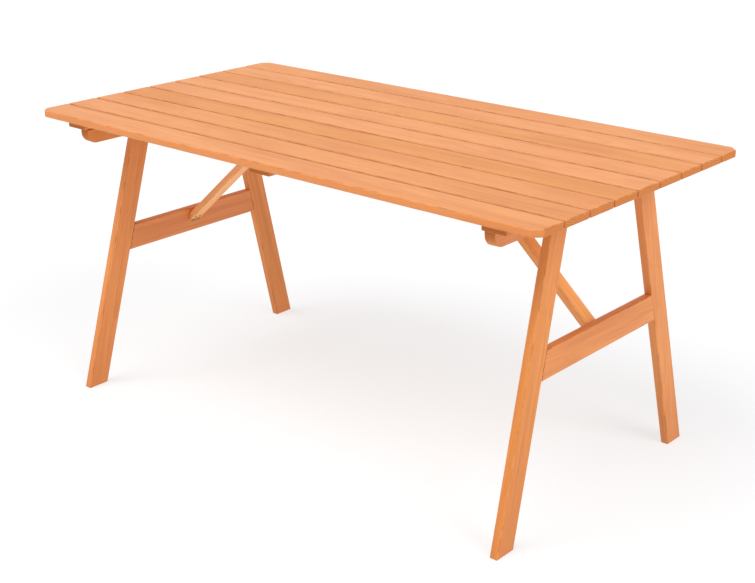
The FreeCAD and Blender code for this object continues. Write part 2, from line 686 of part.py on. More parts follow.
os.makedirs("parts", exist_ok=True)
for node, solids in table_top().items():
    export(node, solids)
for node, solids in end_assembly().items():
    export(LEG_NAMES["right"].get(node, node) + "_right", solids)
    export(LEG_NAMES["left"].get(node, node) + "_left", [half_turned(solid) for solid in solids])
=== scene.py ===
import json
import math
import random

import bmesh
import bpy
from mathutils import Matrix, Vector, noise


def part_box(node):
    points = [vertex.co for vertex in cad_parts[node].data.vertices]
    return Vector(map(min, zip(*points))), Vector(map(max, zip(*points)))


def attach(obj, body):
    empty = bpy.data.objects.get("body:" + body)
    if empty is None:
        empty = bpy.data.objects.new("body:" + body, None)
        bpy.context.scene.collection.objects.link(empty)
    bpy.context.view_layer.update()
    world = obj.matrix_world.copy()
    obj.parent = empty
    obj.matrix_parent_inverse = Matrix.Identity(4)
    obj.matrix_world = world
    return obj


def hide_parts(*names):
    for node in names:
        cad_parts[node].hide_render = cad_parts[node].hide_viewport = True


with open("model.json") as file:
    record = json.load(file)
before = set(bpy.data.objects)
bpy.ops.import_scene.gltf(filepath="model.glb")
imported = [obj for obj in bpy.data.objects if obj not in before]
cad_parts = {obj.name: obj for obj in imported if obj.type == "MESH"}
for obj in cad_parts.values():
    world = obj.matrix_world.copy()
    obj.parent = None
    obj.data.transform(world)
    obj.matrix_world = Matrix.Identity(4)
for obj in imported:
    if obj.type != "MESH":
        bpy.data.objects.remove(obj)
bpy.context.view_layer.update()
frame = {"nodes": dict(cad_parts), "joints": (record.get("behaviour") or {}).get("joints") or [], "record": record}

# Sizes in metres, angles in radians. Places come from the CAD nodes' boxes and the joints.
MM = 0.001
LEAN = math.radians(1.85)
SPLAY = math.radians(15.1)
CORNER_CUT = 19 * MM
CORNER_ROUND = 6 * MM
RAIL_CORNER_ROUND = 27 * MM
LEG_WIDTH = 57 * MM
LEG_THICKNESS = 20 * MM
RAIL_THICKNESS = 26 * MM
BRACE_WIDTH = 38 * MM
BRACE_THICKNESS = 17 * MM
BRACE_ANGLE = math.radians(41.9)
BRACE_ROUND = 2.2 * MM
FRAME_TOP_GAP = 0.8 * MM
FOOT_OUTER_Y = 383 * MM
CROSS_RAIL_LOW = 350 * MM
CROSS_RAIL_HIGH = 415 * MM
BOARD_EDGE_ROUND = 2.0 * MM
LEG_EDGE_ROUND = 2.5 * MM
SLAT_EDGE_ROUND = 2.6 * MM
SAWN_CORNER_ROUND = 1.5 * MM
SMOOTH_ANGLE = math.radians(30)
CUT_TOLERANCE = 1e-6
SIDES = {"right": 1, "left": -1}

CAMERA_PLACE = (2.1288, -2.4826, 1.5488)
CAMERA_AZIMUTH = math.radians(40.371)
CAMERA_ELEVATION = math.radians(20.516)
CAMERA_ROLL = math.radians(0.177)
CAMERA_LENS_MM = 67.2
FLOOR_HALF_SIZE = 40

JOINTS = {joint["name"]: joint for joint in frame["joints"]}
HINGE = Vector(JOINTS["leg_fold_right"]["pos_m"])
PIVOT = Vector(JOINTS["brace_swing_right"]["pos_m"])
BATTEN_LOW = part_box("right_batten")[0].z
RAIL_INNER_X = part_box("right_batten")[0].x


# ---------------------------------------------------------------- camera, light and floor

def add_camera():
    """Camera off the +X end and the -Y side, a little above the table."""
    back = Vector((math.sin(CAMERA_AZIMUTH) * math.cos(CAMERA_ELEVATION),
                   -math.cos(CAMERA_AZIMUTH) * math.cos(CAMERA_ELEVATION),
                   math.sin(CAMERA_ELEVATION)))
    right = (-back).cross(Vector((0, 0, 1))).normalized()
    up = right.cross(-back)
    turned_right = right * math.cos(CAMERA_ROLL) + up * math.sin(CAMERA_ROLL)
    turned_up = up * math.cos(CAMERA_ROLL) - right * math.sin(CAMERA_ROLL)
    data = bpy.data.cameras.new("camera")
    data.sensor_width = 36
    data.lens = CAMERA_LENS_MM
    data.clip_start = 0.05
    data.clip_end = 200
    camera = bpy.data.objects.new("camera", data)
    bpy.context.scene.collection.objects.link(camera)
    rows = Matrix((turned_right, turned_up, back))
    camera.matrix_world = Matrix.Translation(CAMERA_PLACE) @ rows.transposed().to_4x4()
    bpy.context.scene.camera = camera


def add_soft_sun(name, towards, spread, power, colour):
    """Wide, even light that comes from the direction towards, like a large white wall."""
    data = bpy.data.lights.new(name, "SUN")
    data.angle = spread
    data.energy = power
    data.color = colour
    lamp = bpy.data.objects.new(name, data)
    lamp.rotation_euler = Vector(towards).to_track_quat("Z", "Y").to_euler()
    bpy.context.scene.collection.objects.link(lamp)


def add_surround():
    """White walls that darken towards the ceiling, brightest at the +X end and dimmer on the -Y side."""
    shader = Shader(bpy.data.worlds.new("studio"))
    direction = shader.node("SeparateXYZ", {}, Vector=shader.node("TexCoord").outputs["Generated"])
    height = shader.spread(direction.outputs["Z"], 0.05, 0.40, 1.02, 0.34)
    bright_end = shader.math("POWER", shader.math("MAXIMUM", direction.outputs["X"], 0.0), 2.0)
    brighter = shader.math("ADD", 1.0, shader.math("MULTIPLY", bright_end, 0.45))
    dim_side = shader.math("MAXIMUM", shader.math("MULTIPLY", direction.outputs["Y"], -1.0), 0.0)
    dimmer = shader.math("SUBTRACT", 1.0, shader.math("MULTIPLY", dim_side, 0.40))
    level = shader.math("MULTIPLY", height, shader.math("MULTIPLY", brighter, dimmer))
    shader.feed(shader.surface.inputs["Strength"], level)
    shader.surface.inputs["Color"].default_value = (1.0, 1.0, 1.0, 1.0)
    bpy.context.scene.world = shader.holder


def add_studio():
    """Pale floor and soft lamps."""
    bpy.context.scene.view_settings.view_transform = "Standard"
    add_soft_sun("overhead", (-0.20, -0.62, 1.0), math.radians(45), 2.25, (1.0, 0.99, 0.97))
    add_soft_sun("side", (1.0, -0.12, 0.80), math.radians(35), 1.35, (1.0, 1.0, 1.0))
    mesh = bpy.data.meshes.new("floor")
    builder = bmesh.new()
    bmesh.ops.create_grid(builder, x_segments=8, y_segments=8, size=FLOOR_HALF_SIZE)
    builder.to_mesh(mesh)
    builder.free()
    floor = bpy.data.objects.new("floor", mesh)
    bpy.context.scene.collection.objects.link(floor)
    floor.data.materials.append(floor_material())


# ---------------------------------------------------------------- shader helpers

class Shader:
    """Nodes of a material or a world under construction."""

    def __init__(self, holder):
        self.holder = holder
        self.holder.use_nodes = True
        self.tree = self.holder.node_tree
        self.surface = next(node for node in self.tree.nodes
                            if node.type in ("BSDF_PRINCIPLED", "BACKGROUND"))

    def node(self, kind, settings=(), **inputs):
        """New node; inputs are linked when they are sockets and set when they are values."""
        made = self.tree.nodes.new("ShaderNode" + kind)
        for name, value in dict(settings).items():
            setattr(made, name, value)
        for name, value in inputs.items():
            key = int(name[1:]) if name[0] == "_" and name[1:].isdigit() else name.replace("_", " ")
            self.feed(made.inputs[key], value)
        return made

    def feed(self, socket, value):
        if isinstance(value, bpy.types.NodeSocket):
            self.tree.links.new(value, socket)
        else:
            socket.default_value = value

    def math(self, operation, first, second=0.0, clamp=False):
        made = self.node("Math", {"operation": operation, "use_clamp": clamp}, _0=first, _1=second)
        return made.outputs[0]

    def attribute(self, name, output="Fac"):
        return self.node("Attribute", {"attribute_name": name}).outputs[output]

    def noise(self, vector, scale, detail=3.0, roughness=0.5, distortion=0.0):
        made = self.node("TexNoise", {}, Vector=vector, Scale=scale, Detail=detail,
                         Roughness=roughness, Distortion=distortion)
        return made.outputs["Fac"]

    def stretch(self, vector, factors):
        return self.node("VectorMath", {"operation": "MULTIPLY"}, _0=vector, _1=factors).outputs[0]

    def spread(self, value, low, high, to_low=0.0, to_high=1.0):
        """Value moved from one range to another, smoothly and without going past the ends."""
        made = self.node("MapRange", {"interpolation_type": "SMOOTHSTEP"}, Value=value,
                         From_Min=low, From_Max=high, To_Min=to_low, To_Max=to_high)
        return made.outputs[0]

    def mix(self, factor, first, second, blend="MIX"):
        made = self.node("Mix", {"data_type": "RGBA", "blend_type": blend}, _0=factor, _6=first, _7=second)
        return made.outputs[2]

    def bump(self, height, distance, strength, normal=None):
        made = self.node("Bump", {}, Height=height, Distance=distance, Strength=strength)
        if normal is not None:
            self.feed(made.inputs["Normal"], normal)
        return made.outputs["Normal"]


def rgba(red, green, blue):
    return (red, green, blue, 1.0)


def floor_material():
    """Matt white sheet with a barely visible tooth, lit from behind."""
    shader = Shader(bpy.data.materials.new("studio_floor"))
    place = shader.node("TexCoord").outputs["Object"]
    tooth = shader.noise(place, 180.0, 4.0)
    shader.feed(shader.surface.inputs["Base Color"],
                shader.mix(tooth, rgba(0.26, 0.27, 0.28), rgba(0.28, 0.29, 0.30)))
    shader.surface.inputs["Emission Color"].default_value = (1.0, 1.0, 1.0, 1.0)
    shader.surface.inputs["Emission Strength"].default_value = 0.68
    shader.surface.inputs["Roughness"].default_value = 0.85
    shader.feed(shader.surface.inputs["Normal"], shader.bump(tooth, 0.0002, 0.2))
    return shader.holder


def wood_material(name, early, late, pale, stain_and_gap_shade, ring_contrast, sheen, coat):
    """Oiled softwood cut from a log: rings about a pith line, fibres, knots, end grain and worn edges.

    Each board carries its own place in the log in the attribute "log" (x along the grain) and its own
    lightness ("tone"). Other attributes say how far a point is on an end ("end_grain"), on a worn edge
    ("edge"), on a narrow side ("side"), in the gap to the next slat ("gap") or near the floor ("foot").
    """
    shader = Shader(bpy.data.materials.new(name))
    log = shader.attribute("log", "Vector")
    tone = shader.attribute("tone")
    end_grain = shader.attribute("end_grain")
    edge = shader.attribute("edge")

    # knots, far apart along the board; the rings bend round them
    knot_space = shader.stretch(log, (2.3, 9.0, 9.0))
    knots = shader.node("TexVoronoi", {"feature": "F1"}, Vector=knot_space, Scale=1.0, Randomness=1.0)
    knot_far = knots.outputs["Distance"]
    knot_pick = shader.node("SeparateColor", {}, Color=knots.outputs["Color"]).outputs["Red"]
    knot_there = shader.math("GREATER_THAN", knot_pick, 0.80)
    knot_core = shader.math("MULTIPLY", shader.spread(knot_far, 0.085, 0.045), knot_there)
    knot_halo = shader.math("MULTIPLY", shader.spread(knot_far, 0.34, 0.06), knot_there)

    # growth rings, wavy along the grain
    sway = shader.noise(shader.stretch(log, (1.7, 8.0, 8.0)), 1.0, 2.0)
    ripple = shader.noise(shader.stretch(log, (9.0, 60.0, 60.0)), 1.0, 2.0)
    across = shader.stretch(log, (0.0, 1.0, 1.0))
    radius = shader.node("VectorMath", {"operation": "LENGTH"}, _0=across).outputs["Value"]
    radius = shader.math("ADD", radius, shader.math("MULTIPLY", sway, 0.020))
    radius = shader.math("ADD", radius, shader.math("MULTIPLY", ripple, 0.0016))
    radius = shader.math("ADD", radius, shader.math("MULTIPLY", knot_halo, 0.012))
    ring = shader.math("FRACT", shader.math("DIVIDE", radius, 0.0042))
    late_wood = shader.math("MULTIPLY", shader.spread(ring, 0.25, 0.88), shader.spread(ring, 1.0, 0.93))
    ring_strength = shader.spread(shader.noise(shader.stretch(log, (0.9, 30.0, 30.0)), 1.0, 2.0),
                                  0.3, 0.75, 0.45 * ring_contrast, ring_contrast)
    late_share = shader.math("MULTIPLY", late_wood, ring_strength)

    # fibres and the dark dashes of the resin canals
    fibres = shader.noise(shader.stretch(log, (14.0, 900.0, 900.0)), 1.0, 3.0, 0.6)
    streaks = shader.noise(shader.stretch(log, (3.0, 130.0, 130.0)), 1.0, 4.0, 0.55)
    canals = shader.spread(shader.noise(shader.stretch(log, (45.0, 1500.0, 1500.0)), 1.0, 2.0), 0.70, 0.80)
    clouds = shader.noise(shader.stretch(log, (2.2, 10.0, 10.0)), 1.0, 3.0)
    bands = shader.noise(shader.stretch(log, (1.4, 55.0, 55.0)), 1.0, 3.0, 0.6)
    mottle = shader.noise(shader.stretch(log, (16.0, 45.0, 45.0)), 1.0, 3.0)

    colour = shader.mix(late_share, rgba(*early), rgba(*late))
    colour = shader.mix(shader.spread(streaks, 0.30, 0.75, 0.0, 0.55), colour, rgba(*pale))
    colour = shader.mix(shader.spread(fibres, 0.35, 0.75, 0.0, 0.30), colour, rgba(*late))
    colour = shader.mix(shader.math("MULTIPLY", canals, 0.30), colour, rgba(*stain_and_gap_shade))
    colour = shader.mix(shader.spread(clouds, 0.46, 0.62, 0.0, 0.34), colour, rgba(*late))
    colour = shader.mix(shader.spread(bands, 0.48, 0.72, 0.0, 0.60), colour, rgba(*late))
    colour = shader.mix(shader.spread(mottle, 0.55, 0.72, 0.0, 0.22), colour, rgba(*late))
    shade = shader.node("HueSaturation", {}, Color=colour,
                        Hue=shader.spread(tone, 0.0, 1.0, 0.499, 0.501),
                        Saturation=shader.spread(tone, 0.0, 1.0, 0.98, 1.03),
                        Value=shader.spread(tone, 0.0, 1.0, 1.04, 0.96)).outputs["Color"]
    shade = shader.mix(shader.math("MULTIPLY", knot_halo, 0.35), shade, rgba(*late))
    shade = shader.mix(shader.math("MULTIPLY", knot_core, 0.85), shade, rgba(*stain_and_gap_shade))

    # ends drink more oil; handled edges are rubbed paler in places and hold dirt in others
    end_shade = shader.mix(shader.math("MULTIPLY", late_wood, 0.6), rgba(*late), rgba(*stain_and_gap_shade))
    # the narrow sides of the slats are mixed darker than the top; together with the top's paler colours this
    # paints the top's sheen into its colour
    shade = shader.mix(shader.math("MULTIPLY", shader.attribute("side"), 0.65), shade, rgba(*late))
    shade = shader.mix(shader.math("MULTIPLY", end_grain, 0.80), shade, end_shade)
    # legs darker towards the floor, mixed towards the late-wood colour and fading out with height
    shade = shader.mix(shader.math("MULTIPLY", shader.attribute("foot"), 0.60), shade, rgba(*late))
    patches = shader.noise(shader.stretch(log, (28.0, 70.0, 70.0)), 1.0, 3.0)
    rubbed = shader.math("MULTIPLY", edge, shader.spread(patches, 0.48, 0.62))
    shade = shader.mix(shader.math("MULTIPLY", rubbed, 0.35), shade, rgba(*pale))
    dirty = shader.math("MULTIPLY", edge, shader.spread(patches, 0.50, 0.36))
    shade = shader.mix(shader.math("MULTIPLY", dirty, 0.38), shade, rgba(*stain_and_gap_shade))
    # painted shade: the slats' sides facing the gap to the next slat are darkened towards the stain colour, for
    # the shade inside the gap
    shade = shader.mix(shader.math("MULTIPLY", shader.attribute("gap"), 0.28), shade, rgba(*stain_and_gap_shade))
    shader.feed(shader.surface.inputs["Base Color"], shade)

    rough = shader.math("ADD", 0.46, shader.math("MULTIPLY", fibres, 0.16))
    rough = shader.math("ADD", rough, shader.math("MULTIPLY", end_grain, 0.18))
    rough = shader.math("SUBTRACT", rough, shader.math("MULTIPLY", late_share, 0.06), True)
    shader.feed(shader.surface.inputs["Roughness"], rough)
    matt = shader.math("MAXIMUM", end_grain, shader.math("MULTIPLY", shader.attribute("side"), 0.7))
    glossy = shader.math("SUBTRACT", 1.0, shader.math("MULTIPLY", matt, 0.8))
    shader.feed(shader.surface.inputs["Specular IOR Level"], shader.math("MULTIPLY", glossy, sheen))
    shader.feed(shader.surface.inputs["Coat Weight"], shader.math("MULTIPLY", glossy, coat))
    shader.surface.inputs["Coat Roughness"].default_value = 0.35
    relief = shader.math("ADD", shader.math("MULTIPLY", late_share, 0.5), fibres)
    relief = shader.math("SUBTRACT", relief, shader.math("MULTIPLY", canals, 0.6))
    normal = shader.bump(relief, 0.00012, 0.55)
    dents = shader.noise(shader.stretch(log, (20.0, 55.0, 55.0)), 1.0, 2.0)
    shader.feed(shader.surface.inputs["Normal"], shader.bump(dents, 0.0004, 0.35, normal))
    return shader.holder


def steel_material(name, bright, dull, roughness, grain_scale):
    """Zinc-plated steel: fine crystals, cloudy dulling and small scuffs."""
    shader = Shader(bpy.data.materials.new(name))
    place = shader.node("TexCoord").outputs["Object"]
    crystals = shader.node("TexVoronoi", {"feature": "F1"}, Vector=place, Scale=grain_scale)
    crystals = crystals.outputs["Distance"]
    clouds = shader.noise(place, 160.0, 4.0)
    scuffs = shader.spread(shader.noise(shader.stretch(place, (2200.0, 300.0, 300.0)), 1.0, 2.0), 0.62, 0.72)
    colour = shader.mix(shader.spread(clouds, 0.35, 0.7), rgba(*bright), rgba(*dull))
    colour = shader.mix(shader.math("MULTIPLY", crystals, 0.25), colour, rgba(*dull))
    colour = shader.mix(shader.math("MULTIPLY", scuffs, 0.4), colour, rgba(*bright))
    shader.feed(shader.surface.inputs["Base Color"], colour)
    shader.surface.inputs["Metallic"].default_value = 1.0
    rough = shader.math("ADD", roughness, shader.math("MULTIPLY", clouds, 0.22))
    shader.feed(shader.surface.inputs["Roughness"], shader.math("SUBTRACT", rough,
                                                               shader.math("MULTIPLY", scuffs, 0.1), True))
    shader.feed(shader.surface.inputs["Normal"], shader.bump(crystals, 0.00005, 0.3))
    return shader.holder


# ---------------------------------------------------------------- boards

def corner_frames(corners):
    """Each corner of an outline, the directions to the last and next corners, and half its angle."""
    frames = []
    for index, place in enumerate(corners):
        corner = Vector(place)
        to_last = (Vector(corners[index - 1]) - corner).normalized()
        to_next = (Vector(corners[(index + 1) % len(corners)]) - corner).normalized()
        frames.append((corner, to_last, to_next, to_last.angle(to_next) / 2))
    return frames


def inset_corners(corners, inset):
    """Corners of the convex, counter-clockwise outline that lies a distance inside another."""
    return [corner + (to_last + to_next).normalized() * (inset / math.sin(half_angle))
            for corner, to_last, to_next, half_angle in corner_frames(corners)]


def rounded_outline(corners, radii, steps):
    """Points of a closed counter-clockwise outline whose corners are rounded, with their outward normals."""
    points = []
    for radius, (corner, to_last, to_next, half_angle) in zip(radii, corner_frames(corners)):
        centre = corner + (to_last + to_next).normalized() * (radius / math.sin(half_angle))
        first = corner + to_last * (radius / math.tan(half_angle)) - centre
        sweep = math.pi - 2 * half_angle
        for step in range(steps + 1):
            turn = sweep * step / steps
            cos, sin = math.cos(turn), math.sin(turn)
            arm = Vector((first.x * cos - first.y * sin, first.x * sin + first.y * cos))
            points.append((centre + arm, arm.normalized()))
    return points


class Board:
    """A sawn and planed board: its outline lies in the plane of along and across."""

    corner_steps = 5
    edge_steps = 5
    support = 5 * MM
    least_radius = 0.05 * MM
    foot_darkening_height = 260 * MM
    marks = ("edge", "end_grain", "tone", "gap", "side", "foot")

    def __init__(self, name, node, material, centre, along, across, corners, radii, thickness, edge_round,
                 level=0.0, seed=0, spacing=0.05, gap_sides=(False, False), side_darkening=0.0):
        self.centre, self.along, self.across = Vector(centre), Vector(along), Vector(across)
        self.normal = self.along.cross(self.across)
        self.corners, self.radii, self.edge_round = corners, radii, edge_round
        self.half = thickness / 2
        random.seed(seed)
        self.pith = Vector((random.uniform(0, 40), random.uniform(-0.03, 0.03),
                            random.choice((-1, 1)) * random.uniform(0.035, 0.11)))
        self.drift = Vector((0, random.uniform(-0.02, 0.02), random.uniform(-0.028, 0.028)))
        self.bow = random.uniform(0, 100)
        self.gap_sides, self.side_darkening = gap_sides, side_darkening
        tone = random.random()
        builder = bmesh.new()
        layers = {key: builder.verts.layers.float.new(key) for key in self.marks}
        rings = self.rings(builder, layers)
        for low, high in zip(rings, rings[1:]):
            for index in range(len(low)):
                after = (index + 1) % len(low)
                builder.faces.new((low[index], low[after], high[after], high[index]))
        builder.faces.new(list(reversed(rings[0])))
        builder.faces.new(rings[-1])
        self.divide(builder, spacing)
        log_layer = builder.verts.layers.float_vector.new("log")
        for vertex in builder.verts:
            vertex[layers["tone"]] = tone
            x, y, z = vertex.co
            vertex[log_layer] = Vector((x, y, z)) + self.pith + self.drift * x
            vertex.co = self.place(x + level * z, y, z)
            vertex.co.z = max(vertex.co.z, 0.0)
            vertex[layers["foot"]] = max(0.0, 1 - vertex.co.z / self.foot_darkening_height)
        self.object = finished_piece(builder, name, material)
        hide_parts(node)

    def profile(self):
        """Inset, height, wear and side share of each ring from the middle of a face down to the side."""
        rows = [(self.edge_round + self.support, self.half, 0.0, 0.0)]
        for step in range(self.edge_steps + 1):
            turn = math.pi / 2 * step / self.edge_steps
            inset = self.edge_round * (1 - math.sin(turn))
            height = self.half - self.edge_round * (1 - math.cos(turn))
            rows.append((inset, height, math.sin(2 * turn), math.sin(turn)))
        return rows

    def rings(self, builder, layers):
        """Loops from the lower face, round its edge, up the side and over the upper edge."""
        rows = self.profile()
        rows = [(inset, -height, edge, side) for inset, height, edge, side in rows] + rows[::-1]
        low_side, high_side = (side(corner[1] for corner in self.corners) for side in (min, max))
        loops = []
        for inset, height, edge, side in rows:
            radii = [max(radius - inset, self.least_radius) for radius in self.radii]
            outline = rounded_outline(inset_corners(self.corners, inset), radii, self.corner_steps)
            loop = []
            for point, normal in outline:
                vertex = builder.verts.new((point.x, point.y, height))
                vertex[layers["edge"]] = edge
                vertex[layers["end_grain"]] = side * abs(normal.x) ** 3
                # sides that face a neighbouring slat get the gap mark, which paints the shade inside the gap
                near = inset + 0.4 * self.support
                faces_gap = (self.gap_sides[0] and point.y < low_side + near and normal.y < -0.5,
                             self.gap_sides[1] and point.y > high_side - near and normal.y > 0.5)
                vertex[layers["gap"]] = side if any(faces_gap) else 0.0
                vertex[layers["side"]] = side * self.side_darkening
                loop.append(vertex)
            loops.append(loop)
        return loops

    def divide(self, builder, spacing):
        """Cut the long faces into shorter ones, so that the board can be a little uneven."""
        low, high = min(corner[0] for corner in self.corners), max(corner[0] for corner in self.corners)
        cut_lengths(builder, Vector((1, 0, 0)), low, high, max(2, round((high - low) / spacing)))

    def place(self, x, y, z):
        """Point of the finished board: planed by hand, so never quite straight."""
        wave = noise.noise(Vector((x * 2.3, self.bow, 0.0)))
        twist = noise.noise(Vector((x * 1.1, self.bow, 7.0)))
        chatter = noise.noise(Vector((x * 17, y * 40 + self.bow, z * 40)))
        y += 0.00022 * wave + 0.00008 * chatter
        z += 0.00012 * twist
        return self.centre + self.along * x + self.across * y + self.normal * z


def cut_lengths(builder, along, low, high, count):
    """Cut a mesh into equal lengths by planes square to along."""
    for index in range(1, count):
        at = low + (high - low) * index / count
        bmesh.ops.bisect_plane(builder, geom=builder.verts[:] + builder.edges[:] + builder.faces[:],
                               dist=CUT_TOLERANCE, plane_co=along * at, plane_no=along)


def finished_piece(builder, name, material):
    """Object from a bmesh, shaded smooth except at its sharp edges."""
    bmesh.ops.recalc_face_normals(builder, faces=builder.faces[:])
    mesh = bpy.data.meshes.new(name)
    builder.to_mesh(mesh)
    builder.free()
    mesh.shade_smooth()
    mesh.set_sharp_from_angle(angle=SMOOTH_ANGLE)
    piece = bpy.data.objects.new(name, mesh)
    bpy.context.scene.collection.objects.link(piece)
    mesh.materials.append(material)
    return piece


def rectangle(half_x, half_y):
    return ((-half_x, -half_y), (half_x, -half_y), (half_x, half_y), (-half_x, half_y))


def slat_corners(length, width, cut_low, cut_high):
    """Corners of a slat seen from above, with their radii; some corners are cut off."""
    end, side = length / 2, width / 2
    corners, radii = [], []
    for x_side, y_side in ((-1, -1), (1, -1), (1, 1), (-1, 1)):
        cut = cut_low if y_side < 0 else cut_high
        if not cut:
            corners.append((x_side * end, y_side * side))
            radii.append(1.2 * MM)
            continue
        beside = (x_side * end, y_side * (side - cut))
        before = (x_side * (end - cut), y_side * side)
        corners += [before, beside] if x_side * y_side < 0 else [beside, before]
        radii += [CORNER_ROUND, CORNER_ROUND]
    return corners, radii


def add_slats(material):
    """The top: nine slats side by side."""
    count = sum(1 for node in frame["nodes"] if node.startswith("slat_") and node[5:].isdigit())
    for number in range(1, count + 1):
        node = "slat_%d" % number
        low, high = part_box(node)
        size = high - low
        corners, radii = slat_corners(size.x, size.y, CORNER_CUT * (number == 1),
                                      CORNER_CUT * (number == count))
        board = Board(node + "_board", node, material, (low + high) / 2, (1, 0, 0), (0, 1, 0), corners, radii,
                      size.z, SLAT_EDGE_ROUND, seed=100 + number, gap_sides=(number > 1, number < count),
                      side_darkening=1.0)
        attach(board.object, "tabletop")


def add_battens(material):
    """Flat boards under the slats."""
    for index, name in enumerate(("left", "centre", "right")):
        node = name + "_batten"
        low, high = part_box(node)
        size = high - low
        board = Board(node + "_board", node, material, (low + high) / 2, (0, 1, 0), (-1, 0, 0),
                      rectangle(size.y / 2, size.x / 2), (SAWN_CORNER_ROUND,) * 4, size.z,
                      BOARD_EDGE_ROUND, seed=200 + index)
        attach(board.object, "tabletop")


def lean(side):
    """Turn that tips an upright leg frame out about its hinge line, and puts it at its end."""
    about_hinge = Matrix.Translation(HINGE) @ Matrix.Rotation(-LEAN, 4, "Y") @ Matrix.Translation(-HINGE)
    half_turn = Matrix.Rotation(0 if side > 0 else math.pi, 4, "Z")
    return half_turn @ about_hinge


def leg_outer_y(height):
    return FOOT_OUTER_Y - height * math.tan(SPLAY)


def add_legs(material):
    """Four splayed legs, cut level at the floor and under the top."""
    names = {("right", -1): "front_leg_right", ("right", 1): "back_leg_right",
             ("left", -1): "back_leg_left", ("left", 1): "front_leg_left"}
    for (side_name, y_side), node in names.items():
        turn = lean(SIDES[side_name])
        rotation = turn.to_3x3()
        up = rotation @ Vector((0, -y_side * math.sin(SPLAY), math.cos(SPLAY)))
        normal = rotation @ Vector((1, 0, 0))
        out = normal.cross(up)
        foot_x = RAIL_INNER_X + RAIL_THICKNESS + LEG_THICKNESS / 2
        width_y = LEG_WIDTH / math.cos(SPLAY)
        foot = turn @ Vector((foot_x, y_side * (FOOT_OUTER_Y - width_y / 2), 0))
        foot -= up * (foot.z / up.z)
        top = (BATTEN_LOW - FRAME_TOP_GAP) / up.z
        slant = out.z / up.z
        half = LEG_WIDTH / 2
        corners = ((half * slant, -half), (top + half * slant, -half),
                   (top - half * slant, half), (-half * slant, half))
        board = Board(node + "_board", node, material, foot, up, out, corners, (SAWN_CORNER_ROUND,) * 4,
                      LEG_THICKNESS, LEG_EDGE_ROUND, level=-normal.z / up.z,
                      seed=300 + len(node) + 7 * y_side)
        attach(board.object, "leg_frame_" + side_name)


def add_top_rails(material):
    """Rails on edge under the end battens, with round lower corners."""
    for side_name, side in SIDES.items():
        node = "top_rail_" + side_name
        low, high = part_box(node)
        turn = lean(side)
        depth = (high.z - low.z) - RAIL_THICKNESS * math.sin(LEAN)
        centre = turn @ Vector((RAIL_INNER_X + RAIL_THICKNESS / 2, 0, low.z + depth / 2))
        centre.z = (low.z + high.z) / 2
        along = turn.to_3x3() @ Vector((0, 1, 0))
        across = turn.to_3x3() @ Vector((0, 0, 1))
        corners = rectangle((high.y - low.y) / 2, depth / 2)
        radii = (RAIL_CORNER_ROUND, RAIL_CORNER_ROUND, SAWN_CORNER_ROUND, SAWN_CORNER_ROUND)
        board = Board(node + "_board", node, material, centre, along, across, corners, radii,
                      RAIL_THICKNESS, BOARD_EDGE_ROUND, seed=410 + side)
        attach(board.object, "leg_frame_" + side_name)


def add_cross_rails(material):
    """Rails between the legs, their ends cut to the legs' slope."""
    width_y = LEG_WIDTH / math.cos(SPLAY)
    for side_name, side in SIDES.items():
        node = "cross_rail_" + side_name
        turn = lean(side)
        middle = (CROSS_RAIL_LOW + CROSS_RAIL_HIGH) / 2
        centre = turn @ Vector((RAIL_INNER_X + RAIL_THICKNESS + LEG_THICKNESS / 2, 0, middle))
        along = turn.to_3x3() @ Vector((0, 1, 0))
        across = turn.to_3x3() @ Vector((0, 0, 1))
        half = (CROSS_RAIL_HIGH - CROSS_RAIL_LOW) / 2
        low_end = leg_outer_y(CROSS_RAIL_LOW) - width_y
        high_end = leg_outer_y(CROSS_RAIL_HIGH) - width_y
        corners = ((-low_end, -half), (low_end, -half), (high_end, half), (-high_end, half))
        board = Board(node + "_board", node, material, centre, along, across, corners, (0.8 * MM,) * 4,
                      LEG_THICKNESS, BOARD_EDGE_ROUND, seed=520 + side)
        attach(board.object, "leg_frame_" + side_name)


# ---------------------------------------------------------------- steel

def softened_copy(node, material, width, spacing=None, along=None):
    """Copy of a part with its sharp edges eased, and cut across every spacing along a direction."""
    builder = bmesh.new()
    builder.from_mesh(frame["nodes"][node].data)
    bmesh.ops.remove_doubles(builder, verts=builder.verts[:], dist=2e-6)
    bmesh.ops.dissolve_limit(builder, angle_limit=math.radians(1.0), verts=builder.verts[:],
                             edges=builder.edges[:])
    piece = finished_piece(builder, node + "_eased", material)
    bevel = piece.modifiers.new("ease", "BEVEL")
    bevel.width = width
    bevel.segments = 2
    bevel.limit_method = "ANGLE"
    bevel.angle_limit = math.radians(35)
    bpy.context.view_layer.update()
    evaluated = piece.evaluated_get(bpy.context.evaluated_depsgraph_get())
    mesh = bpy.data.meshes.new_from_object(evaluated)
    piece.modifiers.clear()
    piece.data = mesh
    if spacing:
        cut_across(mesh, spacing, along)
    mesh.shade_smooth()
    mesh.set_sharp_from_angle(angle=SMOOTH_ANGLE)
    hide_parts(node)
    return piece


def cut_across(mesh, spacing, along):
    """Cut a finished mesh at about every spacing by planes square to along."""
    builder = bmesh.new()
    builder.from_mesh(mesh)
    places = [vertex.co.dot(along) for vertex in builder.verts]
    low, high = min(places), max(places)
    cut_lengths(builder, along, low, high, round((high - low) / spacing))
    builder.to_mesh(mesh)
    builder.free()


